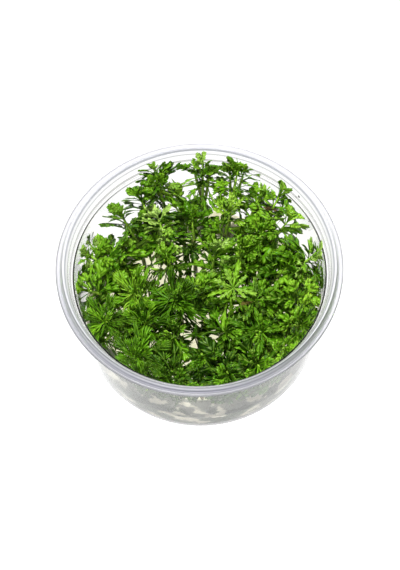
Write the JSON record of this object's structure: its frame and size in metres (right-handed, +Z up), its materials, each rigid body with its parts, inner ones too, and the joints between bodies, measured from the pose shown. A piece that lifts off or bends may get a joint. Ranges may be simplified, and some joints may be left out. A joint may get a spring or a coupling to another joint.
{
  "type": "asian ambulia in vitro cup",
  "caption": "Round clear lidless cup with nutrient gel in its foot, filled to the rim with leafy green aquarium plant shoots grown in vitro.",
  "frame": {"origin": "middle of the cup's foot, on the surface that it stands on", "axes": "+Z up along the cup's axis; -Y towards the viewer of the picture, +X to the viewer's right"},
  "size_m": [0.105, 0.105, 0.0535],
  "materials": {
    "clear_plastic": "clear, glossy",
    "nutrient_gel": "milky, wet",
    "leaf_fresh_green": "satin",
    "leaf_mid_green": "satin",
    "leaf_deep_green": "satin"
  },
  "bodies": {
    "root": {"cup": "clear_plastic", "agar_gel": "nutrient_gel", "shoot_01": "leaf_mid_green", "shoot_02": "leaf_deep_green", "shoot_03": "leaf_fresh_green", "shoot_04": "leaf_mid_green", "shoot_05": "leaf_deep_green", "shoot_06": "leaf_fresh_green", "shoot_07": "leaf_mid_green", "shoot_08": "leaf_deep_green", "shoot_09": "leaf_fresh_green", "shoot_10": "leaf_mid_green", "shoot_11": "leaf_deep_green", "shoot_12": "leaf_fresh_green", "shoot_13": "leaf_mid_green", "shoot_14": "leaf_deep_green", "shoot_15": "leaf_fresh_green", "shoot_16": "leaf_mid_green", "shoot_17": "leaf_deep_green", "shoot_18": "leaf_fresh_green", "shoot_19": "leaf_mid_green", "shoot_20": "leaf_deep_green", "shoot_21": "leaf_fresh_green", "shoot_22": "leaf_mid_green", "shoot_23": "leaf_deep_green", "shoot_24": "leaf_fresh_green", "shoot_25": "leaf_mid_green", "shoot_26": "leaf_deep_green", "shoot_27": "leaf_fresh_green", "shoot_28": "leaf_mid_green", "shoot_29": "leaf_deep_green", "shoot_30": "leaf_fresh_green", "shoot_31": "leaf_mid_green", "shoot_32": "leaf_deep_green", "shoot_33": "leaf_fresh_green", "shoot_34": "leaf_mid_green", "shoot_35": "leaf_deep_green", "shoot_36": "leaf_fresh_green", "shoot_37": "leaf_mid_green", "shoot_38": "leaf_deep_green", "shoot_39": "leaf_fresh_green"}
  },
  "joints": []
}
